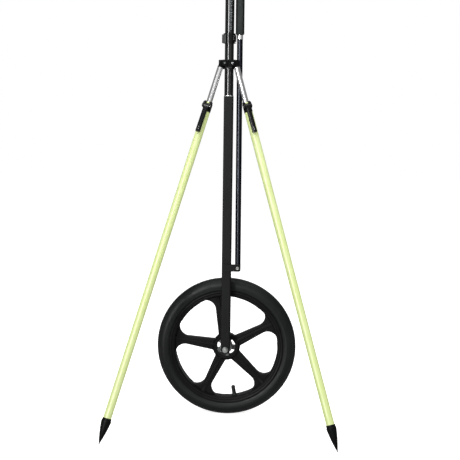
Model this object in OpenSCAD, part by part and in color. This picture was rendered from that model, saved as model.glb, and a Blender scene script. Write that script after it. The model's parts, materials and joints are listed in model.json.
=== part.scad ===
// Wheeled survey pole: a 16 inch wheel carried on one side of a square bar,
// a graduated round pole above it, a push handle beside it and a two-legged
// bipod with thumb-release legs in front.
// Origin on the ground in the middle of the footprint, +Z up, +X to the right
// when the bar side is seen, bar and legs on the -Y (front) side of the wheel.

/* [Wheel] */
// Overall diameter of the inflated tyre
tyre_d = 400; // [396:1:404]
// Width of the tyre section
tyre_w = 47; // [45:0.5:49]
// Thickness of each moulded spoke across the wheel
spoke_t = 20; // [16:1:22]
// Angle of the first spoke above the horizontal
spoke_a = 28; // [0:1:60]

/* [Bar and pole] */
// Outside width of the square bar
bar_w = 26; // [24:0.5:26.5]
// Distance from the wheel's middle plane to the bar and pole axis
axis_off = 40; // [39:0.5:42]
// Height of the top end of the square bar
bar_top = 917; // [900:1:930]
// Outside diameter of the lower round tube
tube_d = 25.2; // [25:0.1:25.4]
// Height of the mounting shoulder at the top of the pole, closed
pole_h = 1800; // [1780:5:1840]

/* [Handle] */
// Sideways distance from the pole axis to the handle pivot
handle_x = 32; // [31:0.5:36]
// Height of the handle pivot
handle_z = 437; // [430:1:450]
// Diameter of the handle rod
rod_d = 15.9; // [15:0.1:16]
// Small inward lean of the handle at rest, in degrees
rod_lean = 0.26; // [0:0.02:0.3]
// Diameter of the foam grip
grip_d = 24; // [22:0.5:24.5]

/* [Bipod] */
// Height of the leg hinges
hinge_z = 1008; // [1000:1:1010]
// Sideways distance from the pole axis to each point on the ground
foot_x = 314.4; // [280:1:330]
// Forward distance from the wheel plane to each point on the ground
foot_y = 329.5; // [300:1:345]
// Diameter of the bright inner leg tubes
inner_d = 15.9; // [15.5:0.1:16.2]
// Diameter of the coloured outer leg tubes
outer_d = 22.2; // [22:0.1:22.6]
// Bare inner tube between hinge and leg clamp
bare = 110; // [100:1:130]

/* [Hidden] */
$fn = 96;

wheel_r = tyre_d / 2;
pole_y = -axis_off;
bar_half = bar_w / 2;
bar_front = pole_y - bar_half;
bar_rear = pole_y + bar_half;
tube_r = tube_d / 2;
slide_gap = 0.05;          // radial clearance of sliding parts
fit = 0.02;                // clearance of fitted parts

// Hinge point of the right leg, and the direction of the leg
hinge_x = 19.2;
hinge_y = -62;
leg_run = [foot_x - hinge_x, -foot_y - hinge_y, -hinge_z];
leg_len = norm(leg_run);
leg_heading = atan2(leg_run[1], leg_run[0]);
leg_tilt = acos(hinge_z / leg_len);
lever_turn = -39;          // makes the release levers face forwards

// ---------- shapes ----------
// Cylinder along Y from y0 to y1
module ycyl(r, y0, y1, x = 0, z = 0) {
  translate([x, y0, z]) rotate([-90, 0, 0]) cylinder(r = r, h = y1 - y0);
}
// Cylinder along Z from z0 to z1
module zcyl(r, z0, z1, x = 0, y = 0) {
  translate([x, y, z0]) cylinder(r = r, h = z1 - z0);
}
// Box between two opposite corners
module box(low, high) {
  translate(low) cube(high - low);
}
// Rounded rectangle made of squares and circles
module rrect(w, h, r) {
  square([w - 2 * r, h], center = true);
  square([w, h - 2 * r], center = true);
  for (i = [-1, 1], j = [-1, 1])
    translate([i * (w / 2 - r), j * (h / 2 - r)]) circle(r = r, $fn = 32);
}
module tube(outer, inner, z0, z1) {
  difference() {
    zcyl(outer, z0, z1);
    zcyl(inner, z0 - 1, z1 + 1);
  }
}
module ytube(outer, inner, y0, y1) {
  difference() {
    ycyl(outer, y0, y1);
    ycyl(inner, y0 - 1, y1 + 1);
  }
}
// Hexagonal prism along Y, sized across its flats
module yhex(flats, y0, y1) {
  translate([0, y0, 0]) rotate([-90, 0, 0]) rotate([0, 0, 30])
    cylinder(r = flats / 2 / cos(30), h = y1 - y0, $fn = 6);
}
// Points of an arc from angle a0 to a1, leaving out those before index first
function arc(centre, r, a0, a1, steps, first = 0) =
  [for (i = [first:steps]) let (a = a0 + (a1 - a0) * i / steps) centre + r * [cos(a), sin(a)]];

// ---------- placing ----------
// Parts are drawn with the wheel's middle plane at y = 0, then moved so that
// the footprint, from the points to the axle bolt's head, is centred on y = 0
bolt_end = 28;
tip_reach = 0.43;          // added in front of the tip's centre
floor_shift = (foot_y + tip_reach - bolt_end) / 2;
module on_floor() {
  translate([0, floor_shift, 0]) children();
}
module left() {
  mirror([1, 0, 0]) children();
}
module pair_x() {
  children();
  left() children();
}
module pair_y() {
  children();
  mirror([0, 1, 0]) children();
}
module at_axle() {
  translate([0, 0, wheel_r]) children();
}
// Wheel frame: Z along the axle, towards the front
module at_wheel() {
  at_axle() rotate([90, 0, 0]) children();
}
module at_pole() {
  translate([0, pole_y, 0]) children();
}
// Hinge frame: X away from the pole along the leg's heading, Y along the pin
module at_hinge() {
  translate([hinge_x, hinge_y, hinge_z]) rotate([0, 0, leg_heading]) children();
}
// Leg frame: the leg runs along -Z from the hinge
module at_leg() {
  at_hinge() rotate([0, -leg_tilt, 0]) children();
}
// Clamp frame: origin at the end of the bare inner tube, X towards the lever
module at_clamp() {
  at_leg() rotate([0, 0, lever_turn]) translate([0, 0, -bare]) children();
}

// ---------- wheel ----------
rim_in = 147;              // inside of the rim
spoke_pitch = 72;
half_pitch = spoke_pitch / 2;
valve_angle = 280;

// Side line of a spoke: half width at two radii, then y = slope * x + offset
root_half = 16.6;
root_x = 28;
end_half = 11.6;
end_x = 118;
side_slope = (end_half - root_half) / (end_x - root_x);
side_offset = root_half - side_slope * root_x;
side_scale = sqrt(1 + side_slope * side_slope);
side_normal = atan2(-1, side_slope);   // from a fillet centre to the side line

// Fillet at the hub end, centred on the window's middle line
hub_fillet = 14.5;
hub_fillet_dist = (hub_fillet * side_scale + side_offset)
  / (sin(half_pitch) - side_slope * cos(half_pitch));

// Fillet at the rim end, touching both the side line and the inside of the rim
rim_fillet = 28;
rim_rise = rim_fillet * side_scale + side_offset;
quad_b = 2 * side_slope * rim_rise;
quad_c = pow(rim_rise, 2) - pow(rim_in - rim_fillet, 2);
rim_fillet_x = (-quad_b + sqrt(quad_b * quad_b - 4 * pow(side_scale, 2) * quad_c))
  / 2 / pow(side_scale, 2);
rim_fillet_y = side_slope * rim_fillet_x + rim_rise;
rim_touch = atan2(rim_fillet_y, rim_fillet_x);

function turned(p, a) = [p[0] * cos(a) - p[1] * sin(a), p[0] * sin(a) + p[1] * cos(a)];
// Half outline of a window, turned so that the window's middle is along +X
half_window = [for (p = concat(
  arc(hub_fillet_dist * [cos(half_pitch), sin(half_pitch)], hub_fillet,
    180 + half_pitch, side_normal + 360, 5),
  arc([rim_fillet_x, rim_fillet_y], rim_fillet, side_normal, rim_touch, 8),
  arc([0, 0], rim_in, rim_touch, half_pitch, 5, first = 1))) turned(p, -half_pitch)];
window = concat(half_window,
  [for (i = [len(half_window) - 2:-1:1]) [half_window[i][0], -half_window[i][1]]]);

module at_spokes() {
  for (k = [0:4]) rotate([0, 0, spoke_a + spoke_pitch * k]) children();
}
module at_windows() {
  at_spokes() rotate([0, 0, half_pitch]) children();
}

// Rim section: radius, distance across the wheel
rim_section = [
  [rim_in, -17], [rim_in, 17], [151, 21], [160.5, 21.5], [162, 20.8], [162, 18.9],
  [160, 18.5], [153.4, 18], [152.5, 10], [150.6, 6], [150.6, -6], [152.5, -10],
  [153.4, -18], [160, -18.5], [162, -18.9], [162, -20.8], [160.5, -21.5], [151, -21]];
core_r = 14.6;             // radius of the bright core
rib_rise = 2.5;            // centre ribs above the spoke faces

module spoke_disc() {
  difference() {
    translate([0, 0, -spoke_t / 2]) cylinder(r = 148.5, h = spoke_t);
    translate([0, 0, -spoke_t / 2 - 1]) linear_extrude(spoke_t + 2) at_windows() polygon(window);
    zcyl(28.5, -40, 40);
  }
}
// Raised ring, collar round the core, webs between the spoke roots
module wheel_hub() {
  difference() {
    union() {
      difference() {
        zcyl(35.5, -14, 14);
        zcyl(26.6, -40, 40);
      }
      zcyl(core_r + 2.6, -15, 15);
      at_windows() box([core_r, -5.6, -12], [30, 5.6, 12]);
    }
    zcyl(core_r + fit, -40, 40);
  }
}
module mag_wheel() color("#1b1c1d") on_floor() at_wheel() difference() {
  union() {
    rotate_extrude() polygon(rim_section);
    spoke_disc();
    wheel_hub();
    at_spokes() box([33, -4, -spoke_t / 2 - rib_rise], [148, 4, spoke_t / 2 + rib_rise]);
  }
  // valve hole
  rotate([0, 0, valve_angle]) translate([130, 0, 0]) rotate([0, 90, 0])
    cylinder(r = 4.2, h = 40);
}

tyre_r = tyre_w / 2;
tyre_mid = wheel_r - tyre_r;   // radius of the section's centre
tyre_wall = 3.3;
// Outer arc, bead foot, inner arc, bead foot
tyre_section = concat(
  arc([tyre_mid, 0], tyre_r, -122, 122, 40),
  [[163, 18.4], [153.8, 17.6], [153.8, 12.6], [158, 12.2]],
  arc([tyre_mid, 0], tyre_r - tyre_wall, 129, -129, 40),
  [[158, -12.2], [153.8, -12.6], [153.8, -17.6], [163, -18.4]]);
module tyre() color("#141414") on_floor() at_wheel() rotate_extrude() polygon(tyre_section);

// Valve frame: the stem points along +Z to the wheel centre, z = 0
module at_valve() {
  at_wheel() rotate([0, 0, valve_angle]) rotate([0, -90, 0]) children();
}
// The inner tube carries its moulded valve stem
module inner_tube() color("#1c1d1e") on_floor() {
  at_wheel() rotate_extrude() translate([tyre_mid + 0.5, 0]) difference() {
    circle(r = tyre_r - 4.5);
    circle(r = tyre_r - 5.7);
  }
  at_valve() difference() {
    union() {
      zcyl(4, -158.6, -124);
      translate([0, 0, -146.2]) cylinder(r1 = 6.6, r2 = 4, h = 6);
      zcyl(3.4, -124.5, -121);
    }
    zcyl(1.6, -150, -120);
  }
}
module valve_cap() color("#0d0d0d") on_floor() at_valve() difference() {
  union() {
    zcyl(5, -129, -118.5);
    translate([0, 0, -118.5]) cylinder(r1 = 5, r2 = 3.6, h = 2.2);
  }
  zcyl(4.1, -130, -120.6);
}

// ---------- hub and axle ----------
axle_r = 5;
bearing_r = 13;
bearing_half = 4;          // half width of a bearing
bearing_z = 16;            // bearing centre from the wheel's middle plane
ball_circle_r = 9;
core_end = 20;

module hub_core() color("#c9cccf") on_floor() at_wheel() difference() {
  union() {
    zcyl(core_r, -core_end, core_end);
    for (s = [-1, 1]) translate([0, 0, 17.5 * s]) zcyl(core_r + 1.4, -2.4, 2.4);
  }
  zcyl(bearing_r + fit, -core_end - 1, bearing_half - bearing_z);
  zcyl(bearing_r + fit, bearing_z - bearing_half, core_end + 1);
  zcyl(10.5, -30, 30);
}
module at_bearings() {
  at_wheel() for (s = [-1, 1]) translate([0, 0, bearing_z * s]) children();
}
module bearing_rings(outer, inner) {
  at_bearings() difference() {
    zcyl(outer, -bearing_half, bearing_half);
    zcyl(inner, -bearing_half - 1, bearing_half + 1);
    rotate_extrude() translate([ball_circle_r, 0]) circle(r = 2.45);
  }
}
module bearing_outer_rings() color("#b9bcc0") on_floor() bearing_rings(bearing_r, 10.4);
module bearing_inner_rings() color("#b9bcc0") on_floor() bearing_rings(7.6, axle_r + fit);
module bearing_balls() color("#d7d9dc") on_floor() at_bearings()
  for (k = [0:7]) rotate([0, 0, 45 * k]) translate([ball_circle_r, 0, 0])
    sphere(r = 2.38, $fn = 32);
// One spacer between the bearings, one between the bar and the front bearing
module hub_spacers() color("#9a9da1") on_floor() at_axle() {
  ytube(7.4, axle_r + fit, -11.9, 11.9);
  ytube(8, axle_r + fit, bar_rear + fit, -core_end - 0.05);
}
module axle_bolt() color("#c4c7ca") on_floor() at_axle() {
  ycyl(axle_r, bar_front - 10.5, 21.7);
  yhex(16, 21.7, bolt_end);
}
module axle_washers() color("#d0d2d4") on_floor() at_axle() {
  ytube(8.6, axle_r + 0.03, bar_front - 1.5, bar_front - fit);
  ytube(9.5, axle_r + 0.03, 20.1, 21.6);
}
module axle_nut() color("#dcdedf") on_floor() at_axle() difference() {
  union() {
    yhex(13, bar_front - 8.1, bar_front - 1.55);
    ycyl(6.3, bar_front - 8.7, bar_front - 7.6);
  }
  ycyl(axle_r + fit, bar_front - 20, bar_front);
}

// ---------- bar and lower pole ----------
bar_wall = 2;
bar_corner_in = 1.4;
stud_r = 7.9;
collar_top = 3.2;          // top of the stud's collar above the bar
lower_bottom = bar_top + collar_top + 0.05;
joint_z = 1075;            // joint of the lower and upper tubes
tube_bore_r = 11.2;
insert_r = 11.17;          // parts fitted inside the tubes
upper_top = 1556;
upper_r = 12.7;

// Square bar with a rounded lower end round the axle
module wheel_bar() color("#2a2b2c") on_floor() difference() {
  union() {
    at_pole() at_axle() linear_extrude(bar_top - wheel_r) rrect(bar_w, bar_w, 3.2);
    at_axle() ycyl(bar_half, bar_front, bar_rear);
  }
  at_pole() at_axle() linear_extrude(bar_top)
    rrect(bar_w - 2 * bar_wall, bar_w - 2 * bar_wall, bar_corner_in);
  at_axle() {
    ycyl(bar_half - bar_wall, bar_front + bar_wall, bar_rear - bar_wall);
    ycyl(axle_r + 0.03, bar_front - 1, bar_rear + 1);
  }
}
module pole_stud() color("#cfd2d4") on_floor() at_pole() {
  zcyl(tube_r + 0.3, bar_top + fit, bar_top + collar_top);
  zcyl(stud_r, bar_top + 3, bar_top + 30);
  translate([0, 0, bar_top - 36]) linear_extrude(36.5)
    rrect(bar_w - 4.1, bar_w - 4.1, bar_corner_in);
}
// Plate on the bar's front face that reaches sideways to the handle pivot
module handle_bracket() color("#262728") on_floor() {
  back = bar_front - fit;
  front = bar_front - 4.8;
  difference() {
    union() {
      box([-bar_half + 0.5, front, handle_z - 10], [handle_x + 3, back, handle_z + 10]);
      box([handle_x, front, handle_z - 4.5], [handle_x + 8.5, back, handle_z + 10]);
      ycyl(5.5, front, back, handle_x + 3, handle_z - 4.5);
    }
    ycyl(2.52, bar_front - 10, bar_front + 1, handle_x, handle_z);
  }
}
module lower_tube() color("#17181a") on_floor() at_pole()
  tube(tube_r, tube_bore_r, lower_bottom, joint_z - 0.1);
module tube_foot() color("#8f9296") on_floor() at_pole()
  tube(insert_r, stud_r + 0.03, lower_bottom + 0.1, lower_bottom + 34);
module tube_joiner() color("#a8abae") on_floor() at_pole()
  tube(insert_r, 9.6, joint_z - 60, joint_z + 60);
module upper_tube() color("#131416") on_floor() at_pole()
  tube(upper_r, tube_bore_r, joint_z + 0.1, upper_top);

// ---------- pole clamps and their levers ----------
lever_pin_y = 8.4;
cut_half = 40;             // half height of cuts right through a clamp
clamp_low = 1061.5;
clamp_high = 1089;
// Levers: middle height, half height and x of the hinge pin
section_mid = 1074.5;
section_half = 11.5;
section_pin_x = -16.2;
lock_mid = upper_top - 8;
lock_half = 14;
lock_pin_x = -16.6;

module hinge_ears(mid, half, pin_x, edge_x) {
  box([edge_x, 3, mid - half], [-8, 13, mid + half]);
  zcyl(4.6, mid - half, mid + half, pin_x, lever_pin_y);
}
// Closing slit, room for the eye of the lever and pin bore
module hinge_cuts(mid, pin_x, slit_x) {
  box([-30, 0.2, mid - cut_half], [slit_x, 2.2, mid + cut_half]);
  zcyl(6.2, mid - 5, mid + 5, pin_x, lever_pin_y);
  zcyl(1.55, mid - cut_half, mid + cut_half, pin_x, lever_pin_y);
}
// Curved lever round the left front quarter, with an eye on the hinge pin
module pole_lever(mid, half, pin_x, outer, inner, link_x) {
  eye_half = 4.8;
  eye_r = 4.4;
  difference() {
    union() {
      difference() {
        zcyl(outer, mid - half, mid + half);
        zcyl(inner, mid - cut_half, mid + cut_half);
        box([-9, -30, mid - cut_half], [30, 30, mid + cut_half]);
        box([-30, 2.6, mid - cut_half], [30, 30, mid + cut_half]);
      }
      zcyl(eye_r, mid - eye_half, mid + eye_half, pin_x, lever_pin_y);
      box([pin_x - eye_r, 0.5, mid - eye_half], [link_x, lever_pin_y, mid + eye_half]);
    }
    zcyl(1.6, mid - cut_half, mid + cut_half, pin_x, lever_pin_y);
  }
}
module pole_lever_pin(mid, half, pin_x) {
  zcyl(1.53, mid - half - 0.5, mid + half + 0.5, pin_x, lever_pin_y);
}

module section_clamp() color("#18191b") on_floor() at_pole() difference() {
  union() {
    zcyl(16.6, clamp_low, clamp_high);
    // side ear
    box([10, -6.5, clamp_low + 1.2], [18.8, 5.5, clamp_high - 4.2]);
    hinge_ears(section_mid, section_half, section_pin_x, edge_x = -17.5);
  }
  zcyl(upper_r + fit, clamp_low - 1, clamp_high + 1);
  // groove above the lower rim
  difference() {
    zcyl(30, clamp_low + 2.3, clamp_low + 4.6);
    zcyl(15.3, clamp_low, clamp_high);
    box([-40, -0.5, clamp_low], [-6, 20, clamp_high]);
  }
  hinge_cuts(section_mid, section_pin_x, slit_x = -11);
}
module section_lever() color("#6d7073") on_floor() at_pole()
  pole_lever(section_mid, section_half, section_pin_x, outer = 20.8, inner = 17, link_x = -17.4);
module lever_hinge_pins() color("#d0d2d4") on_floor() at_pole() {
  pole_lever_pin(section_mid, section_half, section_pin_x);
  pole_lever_pin(lock_mid, lock_half, lock_pin_x);
}

// ---------- circular level on the upper tube ----------
level_z = 1330;
level_y = -34;             // vial axis from the pole axis
vial_r = 12;
glass_r = 9.6;
module level_bracket() color("#1d1e20") on_floor() at_pole() difference() {
  union() {
    zcyl(16.5, level_z - 14, level_z);
    box([-9, -26, level_z - 10], [9, -10, level_z - 2]);
    zcyl(14.5, level_z - 10, level_z - 2, 0, level_y);
  }
  zcyl(upper_r + fit, level_z - 20, level_z + 20);
  zcyl(vial_r, level_z - 8, level_z + 1, 0, level_y);
}
module level_vial() color("#b9c94a") on_floor() at_pole() difference() {
  union() {
    zcyl(vial_r - 0.05, level_z - 7.95, level_z + 3.5, 0, level_y);
    zcyl(vial_r + 1, level_z - 1.9, level_z + 1.5, 0, level_y);
  }
  zcyl(glass_r, level_z - 5, level_z + 6, 0, level_y);
}
module level_glass() color("#d8e6a0") on_floor() at_pole()
  zcyl(glass_r - 0.05, level_z - 4.95, level_z + 2.6, 0, level_y);

// ---------- extension and top ----------
extension_r = 10.9;
extension_bore_r = 9.4;
shoulder_r = 15.8;
shoulder_h = 18;
module extension_lock() color("#18191b") on_floor() at_pole() difference() {
  union() {
    zcyl(17, upper_top - 28, upper_top + 12);
    hinge_ears(lock_mid, lock_half, lock_pin_x, edge_x = -17.8);
  }
  zcyl(upper_r + fit, upper_top - 30, upper_top + 0.05);
  zcyl(extension_r + slide_gap, upper_top - 1, upper_top + 20);
  hinge_cuts(lock_mid, lock_pin_x, slit_x = -9);
}
module extension_lever() color("#6d7073") on_floor() at_pole()
  pole_lever(lock_mid, lock_half, lock_pin_x, outer = 21.4, inner = 17.5, link_x = -17.9);
module extension_tube() color("#1a1b1d") on_floor() at_pole()
  tube(extension_r, extension_bore_r, upper_top - 300, pole_h - shoulder_h);
// Plug, grooved shoulder and spigot
module top_adapter() color("#c6c9cc") on_floor() at_pole() difference() {
  union() {
    zcyl(extension_bore_r - 0.03, pole_h - 45, pole_h - shoulder_h + 0.1);
    zcyl(shoulder_r, pole_h - shoulder_h + 0.1, pole_h);
    zcyl(7.94, pole_h - 1, pole_h + 16);
  }
  rotate_extrude() translate([shoulder_r, pole_h - shoulder_h / 2]) circle(r = 1.6, $fn = 32);
}

// ---------- push handle ----------
rod_r = rod_d / 2;
rod_wall = 1.6;
rod_y = bar_front + 0.9 + rod_r;
rod_rear = rod_y + rod_r;
pivot_r = 2.5;
grip_low = 648.4;          // grip ends, measured from the pivot
grip_high = 812;

module at_pivot() {
  translate([handle_x, 0, handle_z]) children();
}
// Rod frame: Z along the rod, z = 0 at the pivot
module at_rod() {
  at_pivot() rotate([0, -rod_lean, 0]) translate([0, rod_y, 0]) children();
}
module handle_rod() color("#141517") on_floor() at_rod() difference() {
  zcyl(rod_r, -9, 806);
  zcyl(rod_r - rod_wall, -20, 900);
  ycyl(pivot_r + 0.06, -30, 30);
}
module handle_plug() color("#202124") on_floor() at_rod() difference() {
  zcyl(rod_r - rod_wall - 0.05, -8.5, 30);
  ycyl(pivot_r + 0.06, -30, 30);
}
module handle_bolt() color("#d6d8da") on_floor() at_pivot() {
  ycyl(pivot_r, bar_front - 5, rod_rear + 7);
  ycyl(4.5, bar_front - 7.4, bar_front - 4.85);
  difference() {
    ycyl(3.4, bar_front - 8.3, bar_front - 7.3);
    ycyl(1.6, bar_front - 9, bar_front - 7.35);
  }
}
// Nut, washer behind the rod and washer in front of it
module handle_nut() color("#d6d8da") on_floor() at_pivot() difference() {
  union() {
    yhex(8, rod_rear + 1.3, rod_rear + 5.6);
    ycyl(5.2, rod_rear + 0.25, rod_rear + 1.4);
    ycyl(5, bar_front + 0.05, bar_front + 0.6);
  }
  ycyl(pivot_r + 0.03, -90, 0);
}
module handle_ferrule() color("#d9dbdd") on_floor() at_rod()
  tube(rod_r + 0.7, rod_r + fit, grip_low - 12.2, grip_low - 0.6);
module handle_grip() color("#202224") on_floor() at_rod() difference() {
  zcyl(grip_d / 2, grip_low, grip_high);
  zcyl(rod_r + fit, grip_low - 1, 807);
  zcyl(6, 800, 820);
}
// Stem, disc and low dome
module grip_cap() color("#111214") on_floor() at_rod() {
  dome_low = grip_high + 3;
  zcyl(5.9, 790, grip_high + 1);
  zcyl(12.4, grip_high + 0.1, dome_low);
  difference() {
    translate([0, 0, 803]) sphere(r = 17.2);
    zcyl(30, 770, dome_low);
  }
}

// ---------- bipod head ----------
head_low = hinge_z - 16.3;
head_high = hinge_z + 9.6;
knob_z = hinge_z - 3.5;
screw_r = 3;
hinge_pin_r = 2.5;

module fork_body() {
  at_hinge() {
    box([-15, -11.6, -7.6], [3.5, 9, 8.4]);
    box([-14.6, -11.2, -10.6], [-3.6, 8.6, 3]);
  }
}
// Slot for the leg eye and bore for the hinge pin
module fork_cuts() {
  at_hinge() {
    box([-10.2, -5.2, -40], [40, 5.2, 6.8]);
    ycyl(hinge_pin_r + fit, -30, 30);
  }
}
module bipod_head() color("#191a1c") on_floor() difference() {
  union() {
    at_pole() {
      zcyl(19, head_low, head_high);
      box([-13, -19.5, head_low + 3.5], [13, -6, head_high - 2.6]);
      ycyl(7.5, 12, 25, z = knob_z);
    }
    pair_x() fork_body();
  }
  pair_x() fork_cuts();
  at_pole() {
    zcyl(tube_r + slide_gap, head_low - 5, head_high + 5);
    ycyl(screw_r + 0.05, 5, 30, z = knob_z);
  }
}
module hinge_pins() color("#dcdee0") on_floor() pair_x() at_hinge() {
  ycyl(hinge_pin_r, -13.2, 9.8);
  ycyl(2.9, -13.2, -11.65);
}
// Five-lobed knob behind the pole
module head_knob() color("#131416") on_floor() at_pole()
  translate([0, 0, knob_z]) rotate([-90, 0, 0]) difference() {
    union() {
      translate([0, 0, 27]) linear_extrude(11) {
        circle(r = 11.5);
        for (k = [0:4]) rotate([0, 0, 72 * k + 18]) translate([10.2, 0]) circle(r = 4.6);
      }
      zcyl(7, 25.6, 28);
    }
    zcyl(screw_r + fit, 20, 34);
  }
module head_screw() color("#cdd0d2") on_floor() at_pole()
  ycyl(screw_r, tube_r + 0.3, 33.9, z = knob_z);

// ---------- legs, in the leg frame ----------
inner_r = inner_d / 2;
inner_start = 14;          // ends of the inner tube, from the hinge
inner_end = 966;
outer_r = outer_d / 2;
outer_wall = 1.6;
spigot_r = outer_r - outer_wall - fit;
point_len = 76;
point_top = point_len - 2.1;

module leg_eye() {
  eye_half = 4.95;
  difference() {
    union() {
      ycyl(6.4, -eye_half, eye_half);
      box([-5, -eye_half, -12], [5, eye_half, 0]);
      zcyl(inner_r, -inner_start + 0.05, -11);
      zcyl(inner_r - 1.25, -44, -12);
    }
    ycyl(hinge_pin_r + 0.05, -20, 20);
  }
}
module leg_inner() {
  tube(inner_r, inner_r - 1.2, -inner_end, -inner_start);
}
// Cup on the lower end of the inner tube, sliding in the outer tube
module leg_guide() {
  difference() {
    zcyl(outer_r - outer_wall - slide_gap, -inner_end - 6, -inner_end + 22);
    zcyl(inner_r + fit, -inner_end - fit, -inner_end + 30);
    zcyl(5, -inner_end - 10, -inner_end + 1);
  }
}
module leg_outer() {
  tube(outer_r, outer_r - outer_wall, -leg_len + point_len - 2, -bare - 34.05);
}
// Radius of the bellied cone, t = 0 at its top and 1 at its tip
function cone_r(t) = 13.9 * (1 - t) + 1.6 * sin(180 * t);
// Radius, height above the tip: cone, shoulder, groove and spigot
point_section = concat(
  [[0, 0], [0.6, 0.6]],
  [for (i = [1:11]) [cone_r(1 - i / 12), 0.6 + 66 * i / 12]],
  [[13.45, 63.6], [13.45, 66.6], [12.2, 68.4], [12.2, 69.6], [12.5, 70.2],
    [12.3, point_top], [spigot_r, point_top],
    [spigot_r, point_len + 26], [0, point_len + 26]]);
module leg_point() {
  translate([0, 0, -leg_len]) rotate_extrude() polygon(point_section);
}

// ---------- leg clamps, in the clamp frame ----------
pivot_x = 17;              // lever pivot
pivot_z = -20;
lever_pin_r = 1.8;
cheek_in = 5.55;           // inner faces of the cheeks
cheek_out = 11.3;          // outer faces of the cheeks

// Body with a spigot inside the outer tube and two cheeks that hold the lever
module leg_clamp() {
  difference() {
    union() {
      zcyl(11.7, -34, -11);
      zcyl(spigot_r, -56, -33);
      pair_y() {
        box([-2, cheek_in, -25.2], [pivot_x, cheek_out, -9.5]);
        ycyl(5.2, cheek_in, cheek_out, pivot_x, pivot_z);
        // horn beside the inner tube
        box([-1.5, 3.6, -13], [11.2, 10.6, -5.5]);
      }
    }
    zcyl(inner_r + slide_gap, -70, 20);
    // chamber of the lock plate, open to the lever
    zcyl(9.8, -21.9, -15);
    box([0, -5.2, -20.8], [40, 5.2, -15]);
    ycyl(lever_pin_r + 0.03, -30, 30, pivot_x, pivot_z);
  }
}
module lock_plate() {
  difference() {
    union() {
      zcyl(9.6, -20, -17.2);
      box([5, -4.8, -20], [12.1, 4.8, -17.2]);
    }
    zcyl(inner_r + 0.35, -30, 0);
  }
}

lever_len = 77;            // lever length below its pivot
lever_w = 13.4;
lever_t = 6.2;
lever_lean = 2.6;          // outward lean of the lever at rest
// Arm with a crowned front and a squared end
module lever_arm() {
  intersection() {
    translate([1.2, 0, -lever_len]) linear_extrude(lever_len - 6.6) intersection() {
      rrect(lever_t, lever_w, 2.2);
      translate([-7.2, 0]) circle(r = 10.3);
    }
    translate([-10, 0, -lever_len / 2 + 10]) rotate([0, 90, 0])
      linear_extrude(20) rrect(lever_len + 20, lever_w + 0.8, 3.2);
  }
}
module leg_lever() {
  translate([pivot_x, 0, pivot_z]) rotate([0, -lever_lean, 0]) difference() {
    union() {
      // eye and neck between the cheeks
      ycyl(4.6, -5.4, 5.4);
      box([-1.4, -5.4, -9], [3.8, 5.4, 0]);
      lever_arm();
    }
    ycyl(lever_pin_r + 0.05, -30, 30);
    // seats of the two end screws
    for (z = [8.2, 14]) translate([3.4, 0, -lever_len + z]) rotate([0, 90, 0])
      cylinder(r = 1.7, h = 10);
  }
}
module lever_pin() {
  ycyl(lever_pin_r, -12, 12, pivot_x, pivot_z);
  pair_y() ycyl(2.7, cheek_out + 0.05, 12.4, pivot_x, pivot_z);
}
// Leaf spring between lever and tube, with a foot towards the tube
module lever_spring() {
  box([outer_r + 1.2, -3, -51], [outer_r + 1.7, 3, -34.3]);
  box([outer_r + 0.1, -3, -51], [outer_r + 1.7, 3, -50.5]);
}

module leg_eye_right() color("#17181a") on_floor() at_leg() leg_eye();
module leg_eye_left() color("#17181a") on_floor() left() at_leg() leg_eye();
module leg_inner_right() color("#dfe1e3") on_floor() at_leg() leg_inner();
module leg_inner_left() color("#dfe1e3") on_floor() left() at_leg() leg_inner();
module leg_guide_right() color("#222325") on_floor() at_leg() leg_guide();
module leg_guide_left() color("#222325") on_floor() left() at_leg() leg_guide();
module leg_outer_right() color("#d3ee7c") on_floor() at_leg() leg_outer();
module leg_outer_left() color("#d3ee7c") on_floor() left() at_leg() leg_outer();
module leg_clamp_right() color("#1b1c1e") on_floor() at_clamp() leg_clamp();
module leg_clamp_left() color("#1b1c1e") on_floor() left() at_clamp() leg_clamp();
module lock_plate_right() color("#b4b7ba") on_floor() at_clamp() lock_plate();
module lock_plate_left() color("#b4b7ba") on_floor() left() at_clamp() lock_plate();
module lever_right() color("#232427") on_floor() at_clamp() leg_lever();
module lever_left() color("#232427") on_floor() left() at_clamp() leg_lever();
module lever_pin_right() color("#d8dadc") on_floor() at_clamp() lever_pin();
module lever_pin_left() color("#d8dadc") on_floor() left() at_clamp() lever_pin();
module lever_spring_right() color("#9b9ea1") on_floor() at_clamp() lever_spring();
module lever_spring_left() color("#9b9ea1") on_floor() left() at_clamp() lever_spring();
module leg_point_right() color("#141517") on_floor() at_leg() leg_point();
module leg_point_left() color("#141517") on_floor() left() at_leg() leg_point();

mag_wheel();
tyre();
inner_tube();
valve_cap();
hub_core();
bearing_outer_rings();
bearing_balls();
bearing_inner_rings();
hub_spacers();
axle_bolt();
axle_washers();
axle_nut();
wheel_bar();
pole_stud();
handle_bracket();
lower_tube();
tube_foot();
tube_joiner();
upper_tube();
section_clamp();
section_lever();
lever_hinge_pins();
level_bracket();
level_vial();
level_glass();
extension_lock();
extension_lever();
extension_tube();
top_adapter();
handle_rod();
handle_plug();
handle_bolt();
handle_nut();
handle_ferrule();
handle_grip();
grip_cap();
bipod_head();
hinge_pins();
head_knob();
head_screw();
leg_eye_left();
leg_eye_right();
leg_inner_left();
leg_inner_right();
leg_guide_left();
leg_guide_right();
leg_outer_left();
leg_outer_right();
leg_clamp_left();
leg_clamp_right();
lock_plate_left();
lock_plate_right();
lever_left();
lever_right();
lever_pin_left();
lever_pin_right();
lever_spring_left();
lever_spring_right();
leg_point_left();
leg_point_right();
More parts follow.
